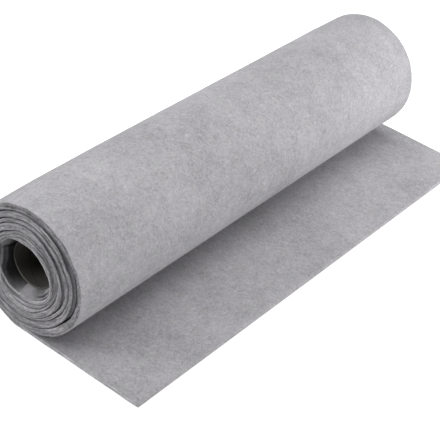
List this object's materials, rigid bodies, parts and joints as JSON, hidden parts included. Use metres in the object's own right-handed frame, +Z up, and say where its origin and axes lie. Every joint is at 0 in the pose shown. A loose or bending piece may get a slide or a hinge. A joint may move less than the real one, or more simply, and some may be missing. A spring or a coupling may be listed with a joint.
{
  "type": "roll of felt",
  "caption": "Roll of soft grey needle felt wound on a thin cardboard tube, lying on its side with its loose end flat beside it.",
  "frame": {"origin": "on the surface that the roll lies on, under the roll's axis and halfway along the wound length", "axes": "+Y along the roll's axis from the near end to the far end, +X from the roll towards the free edge of the loose end, +Z up"},
  "size_m": [0.1682, 0.451, 0.1073],
  "materials": {
    "felt": "soft matte needle felt, light grey, fine short fibres",
    "cardboard": "raw grey-brown paperboard"
  },
  "bodies": {
    "root": {"felt_roll": "felt", "core_tube": "cardboard"}
  },
  "joints": []
}
